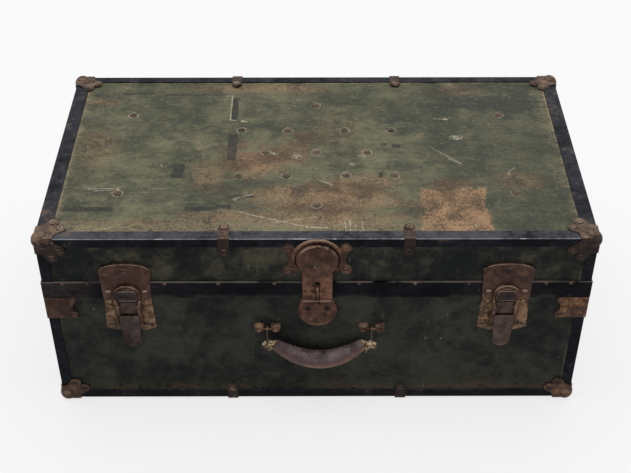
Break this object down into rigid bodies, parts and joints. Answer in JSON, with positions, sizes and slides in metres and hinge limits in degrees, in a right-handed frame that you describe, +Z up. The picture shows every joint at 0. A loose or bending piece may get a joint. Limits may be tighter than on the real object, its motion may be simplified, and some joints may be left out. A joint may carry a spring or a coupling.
{
  "type": "footlocker",
  "caption": "Fibre covered plywood footlocker with bound edges, corner guards, hinged lid, draw latches, drop hasp lock and leather front handle.",
  "frame": {"origin": "centre of the overall box on the floor, under the corner guards' feet", "axes": "+Z up, -Y out of the front with the latches and handle, +X to the right seen from the front"},
  "size_m": [0.798, 0.457, 0.3308],
  "materials": {
    "fibre_board": "worn olive green fibre sheet over plywood",
    "binding": "black vulcanised fibre, scuffed to brown at its edges",
    "corner_steel": "thin pressed steel with its plating gone to brown rust",
    "valance_steel": "black japanned steel strip, bright along its upper edge",
    "latch_steel": "pressed steel with ochre and brown rust",
    "lever_steel": "dark handled steel, worn smooth",
    "lock_steel": "pressed steel with brown rust",
    "hinge_steel": "dark painted steel",
    "pin_steel": "bare steel wire and pins, dulled",
    "plug_brass": "tarnished brass",
    "leather": "dark red brown leather, cracked, over a stuffed core"
  },
  "bodies": {
    "base": {"base_bottom_panel": "fibre_board", "base_front_panel": "fibre_board", "base_back_panel": "fibre_board", "base_left_panel": "fibre_board", "base_right_panel": "fibre_board", "base_binding": "binding", "base_corner_guard_front_left": "corner_steel", "base_edge_clip_front_left": "corner_steel", "base_corner_guard_front_right": "corner_steel", "base_edge_clip_front_right": "corner_steel", "base_corner_guard_back_left": "corner_steel", "base_edge_clip_back_left": "corner_steel", "base_corner_guard_back_right": "corner_steel", "base_edge_clip_back_right": "corner_steel", "base_corner_clamp_front_left": "corner_steel", "base_corner_clamp_front_right": "corner_steel", "base_corner_clamp_back_left": "corner_steel", "base_corner_clamp_back_right": "corner_steel", "latch_base_left": "latch_steel", "handle_loop_left": "latch_steel", "hinge_base_leaf_left": "hinge_steel", "hinge_pin_left": "pin_steel", "latch_base_right": "latch_steel", "handle_loop_right": "latch_steel", "hinge_base_leaf_right": "hinge_steel", "hinge_pin_right": "pin_steel", "lock_hinge_plate": "lock_steel", "hasp_pin": "pin_steel"},
    "lid": {"lid_top_panel": "fibre_board", "lid_front_panel": "fibre_board", "lid_back_panel": "fibre_board", "lid_left_panel": "fibre_board", "lid_right_panel": "fibre_board", "lid_binding": "binding", "lid_corner_guard_front_left": "corner_steel", "lid_edge_clip_front_left": "corner_steel", "lid_corner_guard_front_right": "corner_steel", "lid_edge_clip_front_right": "corner_steel", "lid_corner_guard_back_left": "corner_steel", "lid_edge_clip_back_left": "corner_steel", "lid_corner_guard_back_right": "corner_steel", "lid_edge_clip_back_right": "corner_steel", "lid_valance": "valance_steel", "latch_keeper_left": "latch_steel", "hinge_lid_leaf_left": "hinge_steel", "latch_keeper_right": "latch_steel", "hinge_lid_leaf_right": "hinge_steel", "lock_receiver": "lock_steel"},
    "hasp": {"lock_hasp": "lock_steel"},
    "key_plug": {"lock_plug": "plug_brass"},
    "lever_left": {"latch_lever_left": "lever_steel", "latch_link_pin_left": "pin_steel"},
    "hook_left": {"latch_hook_left": "lever_steel"},
    "lever_right": {"latch_lever_right": "lever_steel", "latch_link_pin_right": "pin_steel"},
    "hook_right": {"latch_hook_right": "lever_steel"},
    "handle_links": {"handle_link_left": "pin_steel", "handle_link_right": "pin_steel"},
    "grip": {"handle_grip": "leather"}
  },
  "joints": [
    {"name": "lid_open", "type": "hinge", "parent": "base", "child": "lid", "pos_m": [0, 0.2245, 0.21755], "axis": [-1, 0, 0], "range_deg": [0, 100]},
    {"name": "hasp_drop", "type": "hinge", "parent": "base", "child": "hasp", "pos_m": [0.001, -0.2029, 0.2113], "axis": [1, 0, 0], "range_deg": [0, 100]},
    {"name": "key_turn", "type": "hinge", "parent": "hasp", "child": "key_plug", "pos_m": [0.001, -0.2019, 0.2803], "axis": [0, -1, 0], "range_deg": [0, 90]},
    {"name": "lever_left_lift", "type": "hinge", "parent": "base", "child": "lever_left", "pos_m": [-0.273, -0.2031, 0.2003], "axis": [-1, 0, 0], "range_deg": [0, 115]},
    {"name": "hook_left_turn", "type": "hinge", "parent": "lever_left", "child": "hook_left", "pos_m": [-0.273, -0.201, 0.1883], "axis": [-1, 0, 0], "range_deg": [-115, 0]},
    {"name": "lever_right_lift", "type": "hinge", "parent": "base", "child": "lever_right", "pos_m": [0.273, -0.2031, 0.2003], "axis": [-1, 0, 0], "range_deg": [0, 115]},
    {"name": "hook_right_turn", "type": "hinge", "parent": "lever_right", "child": "hook_right", "pos_m": [0.273, -0.201, 0.1883], "axis": [-1, 0, 0], "range_deg": [-115, 0]},
    {"name": "handle_swing", "type": "hinge", "parent": "base", "child": "handle_links", "pos_m": [0.004, -0.2025, 0.1553], "axis": [-1, 0, 0], "range_deg": [0, 90]},
    {"name": "grip_swing", "type": "hinge", "parent": "handle_links", "child": "grip", "pos_m": [0.004, -0.2085, 0.1313], "axis": [-1, 0, 0], "range_deg": [0, 20]}
  ],
  "couplings": [
    {"joint": "hook_left_turn", "follows": "lever_left_lift", "ratio": -1},
    {"joint": "hook_right_turn", "follows": "lever_right_lift", "ratio": -1}
  ]
}
